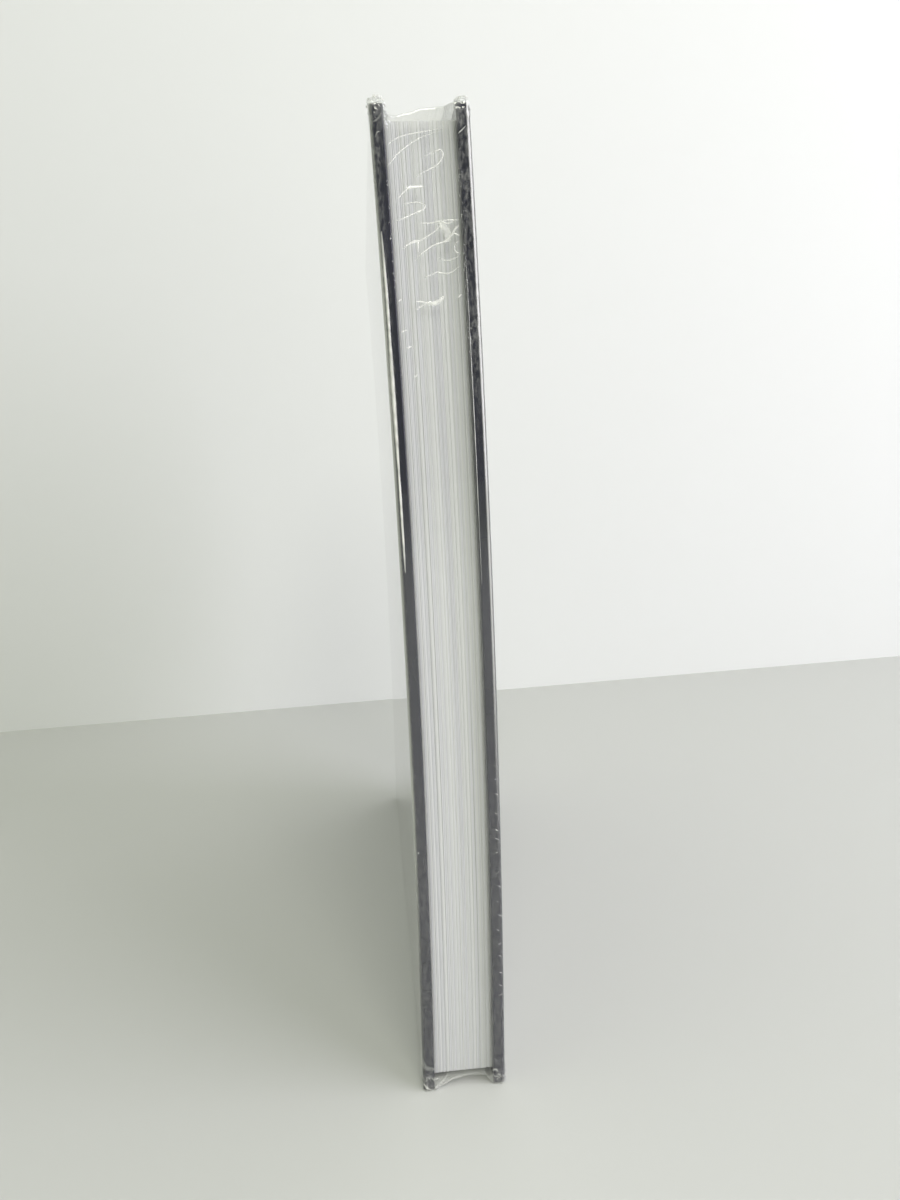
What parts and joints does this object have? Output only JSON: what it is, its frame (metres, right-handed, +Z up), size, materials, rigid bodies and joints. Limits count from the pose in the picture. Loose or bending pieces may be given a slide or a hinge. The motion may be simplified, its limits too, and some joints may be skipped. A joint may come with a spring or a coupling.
{
  "type": "shrink-wrapped hardcover photo book",
  "caption": "Upright hardcover photo book with dark boards, a pale page block set back from the cover edges, and a clear shrink film sagging between the boards.",
  "frame": {"origin": "centre of the bounding box's bottom, under the tail of the book", "axes": "+Z up from tail to head, -Y out of the fore-edge, +Y out of the spine, front cover on the -X side"},
  "size_m": [0.0254, 0.2098, 0.2615],
  "materials": {
    "greyboard": "raw binder's board, matt",
    "cover_paper": "charcoal print under gloss laminate",
    "endpaper": "uncoated, matt",
    "pages": "trimmed edges of coated paper, satin",
    "lining": "crepe paper, matt",
    "band": "woven cotton",
    "film": "clear, glossy, lightly wrinkled"
  },
  "bodies": {
    "root": {"front_board": "greyboard", "back_board": "greyboard", "spine_board": "greyboard", "cover_wrap": "cover_paper", "front_endpaper": "endpaper", "back_endpaper": "endpaper", "page_block": "pages", "spine_lining": "lining", "head_band": "band", "tail_band": "band", "shrink_film": "film"}
  },
  "joints": []
}
